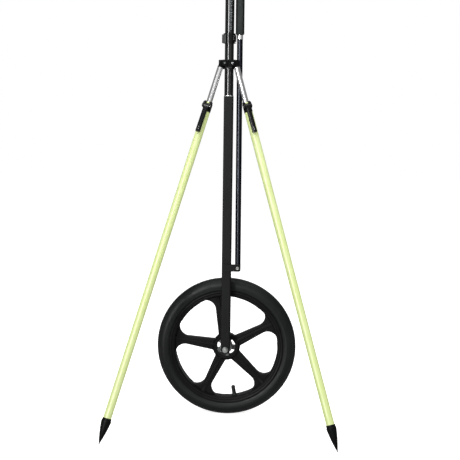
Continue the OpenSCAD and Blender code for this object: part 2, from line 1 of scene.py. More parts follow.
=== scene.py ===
"""A graduated pole on a wheel, with a bipod, a levelling vial and a handle.

The pole stands along +Z at X = 0, the wheel turns about an axis along Y, and the camera looks
from the -Y side. Shapes are given in millimetres and placed by matrices in metres.
A "shape" is a (vertices, faces) pair with its vertices already in world metres.
"""
import bpy
import bmesh
import json
import math
from mathutils import Vector, Matrix, noise
from mathutils.geometry import tessellate_polygon


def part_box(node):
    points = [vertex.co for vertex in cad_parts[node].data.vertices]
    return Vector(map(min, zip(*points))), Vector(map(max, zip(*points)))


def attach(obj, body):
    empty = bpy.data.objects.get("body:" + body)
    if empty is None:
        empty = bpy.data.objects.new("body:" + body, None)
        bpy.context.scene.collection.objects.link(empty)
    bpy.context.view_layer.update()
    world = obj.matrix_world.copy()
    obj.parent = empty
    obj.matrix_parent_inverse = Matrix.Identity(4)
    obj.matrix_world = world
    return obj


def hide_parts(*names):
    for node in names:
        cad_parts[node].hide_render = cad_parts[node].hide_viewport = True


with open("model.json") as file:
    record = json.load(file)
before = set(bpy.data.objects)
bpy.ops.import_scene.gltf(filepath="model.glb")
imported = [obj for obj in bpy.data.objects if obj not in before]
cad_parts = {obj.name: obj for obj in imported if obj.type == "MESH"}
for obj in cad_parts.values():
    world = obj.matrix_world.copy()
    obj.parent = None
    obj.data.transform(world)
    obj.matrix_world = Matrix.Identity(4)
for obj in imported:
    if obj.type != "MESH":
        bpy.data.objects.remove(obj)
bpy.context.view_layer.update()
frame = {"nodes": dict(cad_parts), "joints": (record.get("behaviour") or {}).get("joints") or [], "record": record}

MM = 0.001
SIDES = ("left", "right")
NODES = frame["nodes"]
JOINTS = {joint["name"]: joint for joint in frame["joints"]}

tyre_lo, tyre_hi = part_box("tyre")
WHEEL_Y = (tyre_lo.y + tyre_hi.y) / 2       # middle plane of the wheel
WHEEL_Z = (tyre_lo.z + tyre_hi.z) / 2       # wheel centre
tube_lo, tube_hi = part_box("upper_tube")
POLE_Y = (tube_lo.y + tube_hi.y) / 2
TUBE_RADIUS = (tube_hi.x - tube_lo.x) / 2 / MM


# ---------------------------------------------------------------- outlines, in mm
def arc(centre, radius, start, end, steps, first=0):
    """Points first..steps of an arc cut into equal steps, angles in degrees."""
    points = []
    for i in range(first, steps + 1):
        a = math.radians(start + (end - start) * i / steps)
        points.append((centre[0] + radius * math.cos(a), centre[1] + radius * math.sin(a)))
    return points


def circle(radius, count):
    angles = [2 * math.pi * i / count for i in range(count)]
    return [(radius * math.cos(a), radius * math.sin(a)) for a in angles]


def with_mirror(half):
    """A half profile followed by its mirror image across height 0."""
    return half + [(r, -h) for r, h in reversed(half)]


def rounded(points, radius, steps=4):
    """Rounds the corners of a closed outline, leaving nearly straight ones alone."""
    out = []
    for i in range(len(points)):
        before, corner, after = (Vector(points[k]) for k in (i - 1, i, (i + 1) % len(points)))
        back, ahead = before - corner, after - corner
        back_length, ahead_length = back.length, ahead.length
        back, ahead = back / back_length, ahead / ahead_length
        angle = math.acos(max(-1, min(1, back.dot(ahead))))
        if angle > math.radians(176):
            out.append((corner.x, corner.y))
            continue
        cut = min(radius / math.tan(angle / 2), back_length * 0.48, ahead_length * 0.48)
        for k in range(steps + 1):
            t = k / steps
            p = ((1 - t) ** 2 * (corner + back * cut) + 2 * t * (1 - t) * corner
                 + t * t * (corner + ahead * cut))
            out.append((p.x, p.y))
    return out


def rotate_point(point, degrees):
    c, s = math.cos(math.radians(degrees)), math.sin(math.radians(degrees))
    return (point[0] * c - point[1] * s, point[0] * s + point[1] * c)


def offset_loop(loop, distance):
    """Moves a closed loop along its left-hand normal."""
    out = []
    for i in range(len(loop)):
        a, b, c = Vector(loop[i - 1]), Vector(loop[i]), Vector(loop[(i + 1) % len(loop)])
        tangent = ((b - a).normalized() + (c - b).normalized()).normalized()
        out.append((b.x - tangent.y * distance, b.y + tangent.x * distance))
    return out


def signed_area(loop):
    """Twice the enclosed area, positive for an anticlockwise loop."""
    return sum(loop[i - 1][0] * loop[i][1] - loop[i][0] * loop[i - 1][1]
               for i in range(len(loop)))


# ---------------------------------------------------------------- placing matrices
def move(x, y, z):
    """Translation given in mm."""
    return Matrix.Translation((x * MM, y * MM, z * MM))


def turn(degrees, axis):
    return Matrix.Rotation(math.radians(degrees), 4, axis)


# ---------------------------------------------------------------- shapes
def revolve(profile, count, place, radius_at):
    """Points of a (radius, height) profile turned about local Z, one profile after another.
    radius_at(angle, radius, height) may change a point's radius."""
    verts = []
    for i in range(count):
        a = 2 * math.pi * i / count
        c, s = math.cos(a), math.sin(a)
        for r, h in profile:
            radius = radius_at(a, r, h) if radius_at else r
            verts.append(place @ Vector((radius * c * MM, radius * s * MM, h * MM)))
    return verts


def ring(profile, count, place, radius_at=None):
    """Closed ring of revolution, from a closed profile that stays off the axis."""
    verts = revolve(profile, count, place, radius_at)
    m = len(profile)
    faces = []
    for i in range(count):
        j = (i + 1) % count
        for k in range(m):
            n = (k + 1) % m
            faces.append((i * m + k, j * m + k, j * m + n, i * m + n))
    return verts, faces


def solid(profile, count, place, radius_at=None):
    """Solid of revolution, from a profile whose first and last points are on the axis."""
    verts = revolve(profile[1:-1], count, place, radius_at)
    m = len(profile) - 2
    start = len(verts)
    end = start + 1
    verts.append(place @ Vector((0, 0, profile[0][1] * MM)))
    verts.append(place @ Vector((0, 0, profile[-1][1] * MM)))
    faces = []
    for i in range(count):
        j = (i + 1) % count
        for k in range(m - 1):
            faces.append((i * m + k, j * m + k, j * m + k + 1, i * m + k + 1))
        faces.append((start, j * m, i * m))
        faces.append((end, i * m + m - 1, j * m + m - 1))
    return verts, faces


def loft(sections):
    """Skin over closed loops of equal length, capped at both ends."""
    m = len(sections[0])
    verts = [point for section in sections for point in section]
    faces = []
    for i in range(len(sections) - 1):
        for k in range(m):
            n = (k + 1) % m
            faces.append((i * m + k, i * m + n, (i + 1) * m + n, (i + 1) * m + k))
    last = (len(sections) - 1) * m
    faces.append(tuple(range(m - 1, -1, -1)))
    faces.append(tuple(last + k for k in range(m)))
    return verts, faces


def bar(stations, place, steps=5):
    """Bar along local X with a rounded-box section.
    Stations are (x, half width, half height, corner radius)."""
    sections = []
    for x, width, height, corner in stations:
        box = [(-width, -height), (width, -height), (width, height), (-width, height)]
        sections.append([place @ Vector((x * MM, p[0] * MM, p[1] * MM))
                         for p in rounded(box, corner, steps)])
    return loft(sections)


def rounded_plate(loops, half, radius, place, steps=4):
    """Plate between z = -half and z = +half with rounded edges.
    The first loop is the outside, the others are holes."""
    edge = []
    for k in range(steps + 1):
        a = math.pi / 2 * (1 - k / steps)
        edge.append((radius * (1 - math.cos(a)), half - radius + radius * math.sin(a)))
    profile = with_mirror(edge)             # (inset, z)
    last = len(profile) - 1
    verts, faces, flat, top, bottom = [], [], [], [], []
    for number, loop in enumerate(loops):
        # the material lies to the left of every loop
        if signed_area(loop) * (1 if number == 0 else -1) < 0:
            loop = list(reversed(loop))
        m = len(loop)
        base = len(verts)
        for inset, z in profile:
            for x, y in offset_loop(loop, inset):
                verts.append(place @ Vector((x * MM, y * MM, z * MM)))
        for k in range(last):
            row, below = base + k * m, base + (k + 1) * m
            for i in range(m):
                j = (i + 1) % m
                faces.append((row + i, below + i, below + j, row + j))
        flat.append([Vector((x, y, 0)) for x, y in offset_loop(loop, profile[0][0])])
        top += [base + i for i in range(m)]
        bottom += [base + last * m + i for i in range(m)]
    for triangle in tessellate_polygon(flat):
        faces.append(tuple(top[i] for i in triangle))
        faces.append(tuple(bottom[i] for i in reversed(triangle)))
    return verts, faces


def join(shapes):
    verts, faces = [], []
    for shape_verts, shape_faces in shapes:
        base = len(verts)
        verts += list(shape_verts)
        faces += [tuple(base + i for i in face) for face in shape_faces]
    return verts, faces


# ---------------------------------------------------------------- objects
def link_mesh(name, mesh, sharp=None):
    """Cleans a mesh and links its object. sharp is the smooth shading limit in degrees,
    None for flat shading."""
    bm = bmesh.new()
    bm.from_mesh(mesh)
    bmesh.ops.remove_doubles(bm, verts=bm.verts, dist=2e-6)
    bmesh.ops.recalc_face_normals(bm, faces=bm.faces)
    bm.to_mesh(mesh)
    bm.free()
    if sharp is not None:
        mesh.polygons.foreach_set("use_smooth", [True] * len(mesh.polygons))
        mesh.set_sharp_from_angle(angle=math.radians(sharp))
    mesh.update()
    obj = bpy.data.objects.new(name, mesh)
    bpy.context.scene.collection.objects.link(obj)
    return obj


def weight_normals(obj, keep_sharp):
    modifier = obj.modifiers.new("normals", "WEIGHTED_NORMAL")
    modifier.keep_sharp = keep_sharp
    modifier.weight = 50


def paint(obj, material):
    obj.data.materials.clear()
    obj.data.materials.append(MATERIALS[material])


def piece(name, shape, material, body, replaces=None, sharp=35.0, weighted=False):
    """Makes one object, lets it ride on a body and hides the CAD part it replaces."""
    verts, faces = shape
    mesh = bpy.data.meshes.new(name)
    mesh.from_pydata([tuple(v) for v in verts], [], faces)
    mesh.validate()
    obj = link_mesh(name, mesh, sharp)
    if weighted:
        weight_normals(obj, keep_sharp=True)
    paint(obj, material)
    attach(obj, body)
    if replaces:
        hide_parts(replaces)


# ---------------------------------------------------------------- material builder
MATERIALS = {}


def shade(color, gain, lift=0.0):
    return tuple(min(1.0, x * gain + lift) for x in color)


class Shader:
    """A material with a Principled BSDF. Coordinates are object space, in metres."""

    def __init__(self, name, color, rough, metal=0.0):
        self.material = bpy.data.materials.new(name)
        self.material.use_nodes = True
        self.tree = self.material.node_tree
        self.bsdf = self.tree.nodes["Principled BSDF"]
        self.set(Base_Color=color, Roughness=rough, Metallic=metal)
        self.material.diffuse_color = (*color, 1)
        self.coords = self.node("ShaderNodeTexCoord").outputs["Object"]
        self.normal = None
        MATERIALS[name] = self.material

    def node(self, kind, **settings):
        node = self.tree.nodes.new(kind)
        for key, value in settings.items():
            setattr(node, key, value)
        return node

    def feed(self, socket, value):
        """Gives a socket a number, an RGB colour or a link."""
        if isinstance(value, (int, float)):
            socket.default_value = value
        elif isinstance(value, tuple):
            socket.default_value = (*value, 1)
        else:
            self.tree.links.new(value, socket)

    def set(self, **inputs):
        """Feeds inputs of the BSDF, with underscores for the spaces in their names."""
        for key, value in inputs.items():
            self.feed(self.bsdf.inputs[key.replace("_", " ")], value)

    def mapping(self, scale, rot=(0, 0, 0)):
        node = self.node("ShaderNodeMapping")
        node.inputs["Scale"].default_value = scale
        node.inputs["Rotation"].default_value = rot
        self.feed(node.inputs["Vector"], self.coords)
        return node.outputs["Vector"]

    def noise(self, scale, detail=3.0, rough=0.55, coords=None):
        node = self.node("ShaderNodeTexNoise")
        self.feed(node.inputs["Scale"], scale)
        self.feed(node.inputs["Detail"], detail)
        self.feed(node.inputs["Roughness"], rough)
        self.feed(node.inputs["Vector"], coords or self.coords)
        return node.outputs["Fac"]

    def voronoi(self, scale, feature="F1"):
        node = self.node("ShaderNodeTexVoronoi", feature=feature)
        self.feed(node.inputs["Scale"], scale)
        self.feed(node.inputs["Vector"], self.coords)
        return node.outputs["Distance"]

    def remap(self, source, span, to=(0, 1)):
        """Maps the values in span to the range to, clamped."""
        node = self.node("ShaderNodeMapRange")
        for key, value in zip(("From Min", "From Max", "To Min", "To Max"), (*span, *to)):
            self.feed(node.inputs[key], value)
        self.feed(node.inputs["Value"], source)
        return node.outputs["Result"]

    def add(self, a, b):
        node = self.node("ShaderNodeMath", operation="ADD")
        self.feed(node.inputs[0], a)
        self.feed(node.inputs[1], b)
        return node.outputs[0]

    def mix(self, factor, a, b):
        node = self.node("ShaderNodeMix", data_type="RGBA")
        # sockets 6 and 7 are the colours A and B, output 2 is the colour
        for socket, value in ((0, factor), (6, a), (7, b)):
            self.feed(node.inputs[socket], value)
        return node.outputs[2]

    def facing(self):
        node = self.node("ShaderNodeLayerWeight")
        self.feed(node.inputs["Blend"], 0.5)
        return node.outputs["Facing"]

    def camera_ray(self):
        return self.node("ShaderNodeLightPath").outputs["Is Camera Ray"]

    def bump(self, source, strength, distance):
        """Adds a bump on top of the earlier ones. distance is in metres."""
        node = self.node("ShaderNodeBump")
        self.feed(node.inputs["Strength"], strength)
        self.feed(node.inputs["Distance"], distance)
        self.feed(node.inputs["Height"], source)
        if self.normal is not None:
            self.feed(node.inputs["Normal"], self.normal)
        self.normal = node.outputs["Normal"]
        self.set(Normal=self.normal)


# ---------------------------------------------------------------- kinds of material
def moulded(name, color, rough, grain=2600, bump=0.12, coat=0.0, spec=0.25):
    """Moulded nylon: fine grain, slow shade and gloss changes, lighter scuffs."""
    m = Shader(name, color, rough)
    slow = m.noise(scale=18, detail=3)
    fine = m.noise(scale=grain, detail=2, rough=0.6)
    scuffs = m.noise(scale=140, detail=5, rough=0.7, coords=m.mapping(scale=(1, 1, 0.35)))
    base = m.mix(m.remap(slow, span=(0.35, 0.65)), shade(color, 0.86), shade(color, 1.16))
    base = m.mix(m.remap(scuffs, span=(0.63, 0.74), to=(0, 0.35)), base,
                 shade(color, 1.7, lift=0.003))
    m.set(Base_Color=base)
    m.set(Roughness=m.add(m.remap(slow, span=(0.3, 0.7), to=(rough - 0.05, rough + 0.05)),
                          m.remap(fine, span=(0.3, 0.7), to=(-0.04, 0.04))))
    m.bump(fine, strength=bump, distance=0.00012)
    m.set(Coat_Weight=coat, Coat_Roughness=0.25, Specular_IOR_Level=spec)


def rubber(name, color, rough, spec=0.25):
    """Rubber: bloom in slow patches, paler mottling, fine pores."""
    m = Shader(name, color, rough)
    slow = m.noise(scale=9, detail=4, rough=0.6)
    mid = m.noise(scale=70, detail=4, rough=0.6)
    fine = m.noise(scale=1900, detail=2, rough=0.6)
    base = m.mix(m.remap(slow, span=(0.35, 0.65)),
                 shade(color, 0.85), shade(color, 1.2, lift=0.0006))
    base = m.mix(m.remap(mid, span=(0.58, 0.74), to=(0, 0.30)), base,
                 shade(color, 1.6, lift=0.003))
    m.set(Base_Color=base, Specular_IOR_Level=spec)
    m.set(Roughness=m.add(m.remap(slow, span=(0.3, 0.7), to=(rough - 0.06, rough + 0.06)),
                          m.remap(mid, span=(0.3, 0.7), to=(-0.05, 0.05))))
    m.bump(fine, strength=0.14, distance=0.00012)
    m.bump(mid, strength=0.05, distance=0.0004)


def powder_coat(name, color, rough, spec, scale=1500, bump=0.35):
    """Powder coat: orange-peel cells over a slow shade change, tiny bright grains."""
    m = Shader(name, color, rough)
    peel = m.voronoi(scale=scale, feature="SMOOTH_F1")
    slow = m.noise(scale=14, detail=3)
    grain = m.noise(scale=2600, detail=1, rough=0.5)
    base = m.mix(m.remap(slow, span=(0.35, 0.65)), shade(color, 0.88), shade(color, 1.14))
    base = m.mix(m.remap(grain, span=(0.66, 0.74), to=(0, 0.3)), base,
                 shade(color, 1.8, lift=0.004))
    m.set(Base_Color=base, Specular_IOR_Level=spec)
    m.set(Roughness=m.add(m.remap(slow, span=(0.3, 0.7), to=(rough - 0.05, rough + 0.05)),
                          m.remap(peel, span=(0.0, 0.8), to=(-0.06, 0.06))))
    m.bump(peel, strength=bump, distance=0.00016)


def gloss_black(name, color, rough, spec, coat, tint=(1, 1, 1), core=None):
    """Lacquered tube: clear coat, faint draw lines and handling marks along Z.
    core is the specular level along the middle of the tube, as the viewer sees it."""
    m = Shader(name, color, rough)
    lines = m.noise(scale=1.0, detail=2, rough=0.5, coords=m.mapping(scale=(900, 900, 3.0)))
    slow = m.noise(scale=22, detail=3)
    haze = m.noise(scale=160, detail=4, rough=0.65, coords=m.mapping(scale=(1, 1, 0.25)))
    m.set(Base_Color=m.mix(m.remap(slow, span=(0.35, 0.65)),
                           shade(color, 0.85), shade(color, 1.2)))
    m.set(Roughness=m.add(m.remap(haze, span=(0.35, 0.75), to=(rough - 0.02, rough + 0.07)),
                          m.remap(lines, span=(0.3, 0.7), to=(-0.015, 0.015))))
    m.bump(lines, strength=0.03, distance=0.00005)
    m.set(Coat_Weight=coat, Coat_Roughness=0.06, Specular_IOR_Level=spec, Specular_Tint=tint)
    if core:
        # satin sheen along the middle of the tube, dull towards its sides
        m.set(Specular_IOR_Level=m.remap(m.facing(), span=(0.03, 0.15), to=(core, 0.02)))


def metal(name, color, rough, rot=(0, 0, 0), lines=(1200, 1200, 6), streak=0.05, bump=0.05,
          spots=0.0):
    """Metal with drawn or turned lines and soft handling haze.
    lines is the density of the lines along each axis, streak their contrast."""
    m = Shader(name, color, rough, metal=1.0)
    drawn = m.noise(scale=1.0, detail=2, rough=0.5, coords=m.mapping(scale=lines, rot=rot))
    haze = m.noise(scale=60, detail=3, rough=0.5)
    base = m.mix(m.remap(drawn, span=(0.3, 0.7)),
                 shade(color, 1 - streak), shade(color, 1 + streak))
    base = m.mix(m.remap(haze, span=(0.4, 0.7), to=(0, 0.3)), base, shade(color, 0.94))
    if spots:
        specks = m.noise(scale=420, detail=4, rough=0.7)
        base = m.mix(m.remap(specks, span=(0.66, 0.74), to=(0, spots)), base,
                     shade(color, 0.55))
    m.set(Base_Color=base)
    m.set(Roughness=m.add(m.remap(haze, span=(0.3, 0.7), to=(rough - 0.02, rough + 0.03)),
                          m.remap(drawn, span=(0.3, 0.7), to=(-0.03, 0.03))))
    m.bump(drawn, strength=bump, distance=0.00003)


def paint_with_painted_glow(name, color, rot):
    """Yellow-green gloss paint, a little worn along the tube, with a painted glow that lifts its shaded sides."""
    m = Shader(name, color, rough=0.4)
    slow = m.noise(scale=16, detail=3)
    peel = m.noise(scale=520, detail=2, rough=0.5)
    wear = m.noise(scale=240, detail=5, rough=0.75,
                   coords=m.mapping(scale=(1, 1, 0.2), rot=rot))
    deep, pale = (tuple(x * gain for x, gain in zip(color, gains))
                  for gains in ((0.97, 0.985, 0.88), (1.02, 1.01, 1.10)))
    base = m.mix(m.remap(slow, span=(0.3, 0.7)), deep, pale)
    base = m.mix(m.remap(wear, span=(0.70, 0.80), to=(0, 0.30)), base, shade(color, 0.72))
    m.set(Base_Color=base, Roughness=m.remap(slow, span=(0.3, 0.7), to=(0.34, 0.44)))
    m.bump(peel, strength=0.05, distance=0.0002)
    m.set(Coat_Weight=0.2, Coat_Roughness=0.15, Specular_IOR_Level=0.4)
    # painted glow: the paint emits a little yellow-green light of its own, which lifts the leg where it lies in
    # shade
    m.set(Emission_Color=(0.54, 0.65, 0.20), Emission_Strength=0.27)


def foam(name, color):
    """Closed-cell foam: open skin pores, soft mottling, no gloss, and painted shade on the sides."""
    m = Shader(name, color, rough=0.92)
    cells = m.voronoi(scale=1500)
    pores = m.noise(scale=950, detail=3, rough=0.65)
    slow = m.noise(scale=45, detail=3)
    base = m.mix(m.remap(slow, span=(0.3, 0.7)), shade(color, 0.82), shade(color, 1.22))
    base = m.mix(m.remap(pores, span=(0.52, 0.68), to=(0, 0.6)), base,
                 shade(color, 1.8, lift=0.004))
    base = m.mix(m.remap(cells, span=(0.0, 0.22), to=(0.6, 0.0)), base, shade(color, 0.45))
    # painted shade: the sides, as the viewer sees them, are mixed towards near black, so they read darker than the
    # middle
    base = m.mix(m.remap(m.facing(), span=(0.10, 0.38), to=(0.0, 0.88)), base,
                 (0.0008, 0.0009, 0.0009))
    m.set(Base_Color=base, Roughness=m.remap(pores, span=(0.3, 0.7), to=(0.82, 0.98)))
    m.bump(pores, strength=0.5, distance=0.0003)
    m.bump(cells, strength=0.35, distance=0.0002)
    m.set(Specular_IOR_Level=0.06)


def print_ink(name, color, worn):
    m = Shader(name, color, rough=0.5)
    wear = m.noise(scale=900, detail=4, rough=0.7)
    m.set(Base_Color=m.mix(m.remap(wear, span=(0.60, 0.72), to=(0, 0.5)), color, worn))
    m.set(Roughness=m.remap(wear, span=(0.3, 0.7), to=(0.42, 0.6)))


def clear_fluid(name, color, transmission):
    m = Shader(name, color, rough=0.05)
    slow = m.noise(scale=120, detail=2)
    m.set(Base_Color=m.mix(m.remap(slow, span=(0.3, 0.7)),
                           shade(color, 0.95), shade(color, 1.05)))
    m.set(Roughness=m.remap(slow, span=(0.3, 0.7), to=(0.05, 0.10)))
    m.set(Transmission_Weight=transmission, IOR=1.42)


# ---------------------------------------------------------------- the materials
EVEN_LINES = (700, 700, 700)

moulded("wheel_plastic", (0.0030, 0.0031, 0.0032), rough=0.44, grain=2200, bump=0.10, spec=0.10)
rubber("tyre_rubber", (0.0058, 0.0069, 0.0067), rough=0.48, spec=0.17)
rubber("tube_rubber", (0.010, 0.010, 0.0105), rough=0.5)
metal("hub_alloy", (0.34, 0.35, 0.35), rough=0.34, spots=0.15)
metal("web_alloy", (0.085, 0.09, 0.086), rough=0.42, lines=(300, 300, 300), streak=0.08,
      bump=0.12, spots=0.25)
metal("bearing_steel", (0.56, 0.57, 0.59), rough=0.22)
metal("zinc_steel", (0.36, 0.37, 0.36), rough=0.30, lines=EVEN_LINES, streak=0.08, spots=0.2)
metal("pin_steel", (0.74, 0.75, 0.76), rough=0.22, lines=EVEN_LINES)
powder_coat("bar_paint", (0.0056, 0.0061, 0.0059), rough=0.46, spec=0.10)
powder_coat("point_paint", (0.0022, 0.0024, 0.0024), rough=0.40, spec=0.08, scale=2200,
            bump=0.12)
gloss_black("pole_black", (0.0050, 0.0055, 0.0057), rough=0.22, spec=0.12, coat=0.7)
gloss_black("rod_black", (0.0016, 0.0019, 0.0042), rough=0.32, spec=0.17, coat=0.0,
            tint=(0.80, 0.86, 1.0), core=0.40)
gloss_black("collar_black", (0.0026, 0.0028, 0.0028), rough=0.16, spec=0.08, coat=0.30)
metal("bright_alloy", (0.90, 0.905, 0.91), rough=0.2)
moulded("lever_grey", (0.066, 0.068, 0.068), rough=0.38)
moulded("clamp_plastic", (0.0034, 0.0036, 0.0037), rough=0.32, bump=0.08, spec=0.13)
moulded("head_plastic", (0.0052, 0.0055, 0.0056), rough=0.33, bump=0.08, spec=0.24)
metal("ring_alloy", (0.42, 0.43, 0.43), rough=0.30, streak=0.04)
metal("washer_steel", (0.16, 0.165, 0.165), rough=0.34, lines=EVEN_LINES, streak=0.08,
      spots=0.2)
moulded("lever_plastic", (0.0034, 0.0036, 0.0040), rough=0.28, bump=0.06, spec=0.17)
foam("foam_black", (0.026, 0.0305, 0.0300))
moulded("vial_plastic", (0.55, 0.60, 0.12), rough=0.3, bump=0.03, coat=0.5, spec=0.5)
clear_fluid("vial_fluid", (0.62, 0.80, 0.16), transmission=0.35)
moulded("vial_black", (0.010, 0.010, 0.011), rough=0.4, bump=0.05)
print_ink("scale_print", (0.32, 0.355, 0.375), worn=(0.26, 0.28, 0.29))

LEG_DIRECTION = {side: Vector(JOINTS[f"leg_{side}_extend"]["axis"]).normalized()
                 for side in SIDES}
for side in SIDES:
    # turns the leg axis to -Z, so lines and wear run along the leg
    leg_turn = LEG_DIRECTION[side].rotation_difference(Vector((0, 0, -1))).to_euler("XYZ")
    metal("leg_bright_" + side, (0.92, 0.925, 0.92), rough=0.17, rot=tuple(leg_turn),
          streak=0.02)
    paint_with_painted_glow("leg_yellow_" + side, (0.49, 0.555, 0.265), rot=tuple(leg_turn))

# ---------------------------------------------------------------- CAD nodes that stay
# nodes painted with something else than the material of their slot
NODE_MATERIALS = {
    "handle_rod": "rod_black", "section_clamp": "collar_black", "bipod_head": "head_plastic",
    "pole_stud": "ring_alloy", "axle_washers": "washer_steel", "hinge_pins": "pin_steel",
}
for side in SIDES:
    NODE_MATERIALS["leg_point_" + side] = "point_paint"
    NODE_MATERIALS["lever_" + side] = "lever_plastic"
    NODE_MATERIALS["lever_pin_" + side] = "pin_steel"
    NODE_MATERIALS["leg_inner_" + side] = "leg_bright_" + side
    NODE_MATERIALS["leg_outer_" + side] = "leg_yellow_" + side

# width of the softened edges, in mm
EDGE_WIDTHS = {
    "wheel_bar": 0.5, "handle_bracket": 0.7, "section_clamp": 0.8, "section_lever": 0.7,
    "bipod_head": 1.0, "extension_lock": 0.8, "extension_lever": 0.7, "level_bracket": 0.8,
    "leg_clamp_left": 0.9, "leg_clamp_right": 0.9, "axle_nut": 0.5, "axle_washers": 0.25,
    "axle_bolt": 0.4, "handle_nut": 0.3, "handle_bolt": 0.3, "hub_core": 0.5,
    "pole_stud": 0.3, "handle_ferrule": 0.25, "hinge_pins": 0.3, "lever_pin_left": 0.25,
    "lever_pin_right": 0.25, "head_screw": 0.3, "lower_tube": 0.2, "upper_tube": 0.25,
    "extension_tube": 0.2, "head_knob": 0.9, "lever_left": 0.5, "lever_right": 0.5,
    "level_vial": 0.3, "grip_cap": 0.4,
}


def soften(obj, width):
    """Welds and flattens the CAD mesh, then bevels its edges."""
    weld = obj.modifiers.new("weld", "WELD")
    weld.merge_threshold = 2e-6
    flat = obj.modifiers.new("flat", "DECIMATE")
    flat.decimate_type = "DISSOLVE"
    flat.angle_limit = math.radians(0.4)
    edge = obj.modifiers.new("edge", "BEVEL")
    edge.width = width * MM
    edge.segments = 2
    edge.limit_method = "ANGLE"
    edge.angle_limit = math.radians(38)
    edge.use_clamp_overlap = True
    edge.harden_normals = False
    weight_normals(obj, keep_sharp=False)


slot_materials = {part["node"]: part["material_slot"] for part in frame["record"]["subparts"]}
for name, obj in NODES.items():
    paint(obj, NODE_MATERIALS.get(name, slot_materials[name]))
for name, width in EDGE_WIDTHS.items():
    soften(NODES[name], width)

# ---------------------------------------------------------------- wheel
# wheel frame: local X to world X, local Y up, local Z to world -Y
WHEEL = Matrix.Translation((0, WHEEL_Y, WHEEL_Z)) @ Matrix(
    ((1, 0, 0, 0), (0, 0, -1, 0), (0, 1, 0, 0), (0, 0, 0, 1)))
SPOKE_COUNT = 5
SPOKE_PITCH = 360 / SPOKE_COUNT
HALF_PITCH = SPOKE_PITCH / 2
FIRST_SPOKE = 28.0                          # degrees from local X
FIRST_WINDOW = FIRST_SPOKE + HALF_PITCH

# (radius, height) of one half of the rim
RIM_HALF = [
    (147, 15.6), (148.2, 17.9), (151.2, 20.2), (155.2, 20.7), (155.8, 20.0), (156.7, 20.1),
    (157.4, 21.2), (160.6, 21.9), (162.9, 21.7), (164.0, 20.9), (163.9, 19.9), (162.6, 19.1),
    (160, 18.6), (153.7, 18.05), (152.7, 10), (150.9, 6),
]
# (radius, height) of the ring round the hub, with a raised land
HUB_RING = [(26.6, -13.7), (34.4, -13.9), (36.2, -12.2), (39.5, -9.4),
            (39.5, 9.4), (36.2, 12.2), (34.4, 13.9), (26.6, 13.7)]
# stations of the low shoulders beside each rib
SHOULDER = [(44, 1.1, 10.35, 0.9), (60, 1.0, 10.6, 0.9),
            (104, 0.9, 10.6, 0.9), (118, 0.8, 10.35, 0.8)]
# stations of the webs between the hub core and the hub ring
WEB = [(16.0, 5.2, 11.6, 1.4), (20, 5.0, 12.0, 1.4), (26, 5.4, 12.2, 1.4),
       (28.5, 5.8, 12.2, 1.4)]


def window_outline():
    """One window between two spokes, its middle along +X."""
    hub_x, hub_half_width = 28.0, 16.6      # spoke half widths at two places along it
    rim_x, rim_half_width = 118.0, 11.6
    hub_fillet, rim_fillet = 14.5, 28.0
    window_radius = 149.0

    # with a spoke along X, its side is the line y = slope * x + offset
    slope = (rim_half_width - hub_half_width) / (rim_x - hub_x)
    offset = hub_half_width - slope * hub_x
    stretch = math.sqrt(1 + slope * slope)
    to_side = math.degrees(math.atan2(-1, slope))       # direction square to the side

    # hub fillet: touches the side, its centre on the middle line of the window
    s, c = math.sin(math.radians(HALF_PITCH)), math.cos(math.radians(HALF_PITCH))
    reach = (hub_fillet * stretch + offset) / (s - slope * c)

    # rim fillet: touches the side and the outer circle of the window
    lift = rim_fillet * stretch + offset
    b = 2 * slope * lift
    d = lift ** 2 - (window_radius - rim_fillet) ** 2
    x = (-b + math.sqrt(b * b - 4 * (1 + slope * slope) * d)) / 2 / (1 + slope * slope)
    rim_centre = (x, slope * x + rim_fillet * stretch + offset)
    touch = math.degrees(math.atan2(rim_centre[1], x))

    half = arc((reach * c, reach * s), hub_fillet, HALF_PITCH + 180, to_side + 360, 12)
    rim_arc = arc(rim_centre, rim_fillet, to_side, touch, 16)
    (x0, y0), (x1, y1) = half[-1], rim_arc[0]
    half += [(x0 + (x1 - x0) * i / 8, y0 + (y1 - y0) * i / 8) for i in range(1, 8)]
    half += rim_arc
    half += arc((0, 0), window_radius, touch, HALF_PITCH, 14, first=1)

    upper = [rotate_point(p, -HALF_PITCH) for p in half]
    return upper + [(x, -y) for x, y in reversed(upper[1:-1])]


def rim_radius(angle, r, h):
    """Sets the inner wall back beside the spokes, with a small nib at each step."""
    if r > 148.0:
        return r
    # degrees from the middle of the nearest window
    d = abs((math.degrees(angle) - FIRST_WINDOW + HALF_PITCH) % SPOKE_PITCH - HALF_PITCH)
    step = min(1.0, max(0.0, (d - 13.9) / 0.5))
    nib = max(0.0, 1.0 - abs(d - 13.6) / 1.1)
    fade = min(1.0, max(0.0, 1.0 - abs(h) / 15.7) * 4)
    return r + 1.7 * step - 2.2 * nib * fade


def spoke_rib_stations():
    """Rib along a spoke, wider towards the rim and higher at both ends."""
    stations = []
    for i in range(25):
        t = i / 24
        x = 35.0 + (150.0 - 35.0) * t
        half_width = 3.9 + 1.2 * t * t
        half_height = (12.6 + 1.6 * max(0.0, (t - 0.82) / 0.18) ** 2
                       + 0.5 * max(0.0, (0.12 - t) / 0.12))
        stations.append((x, half_width, half_height, 1.9))
    return stations


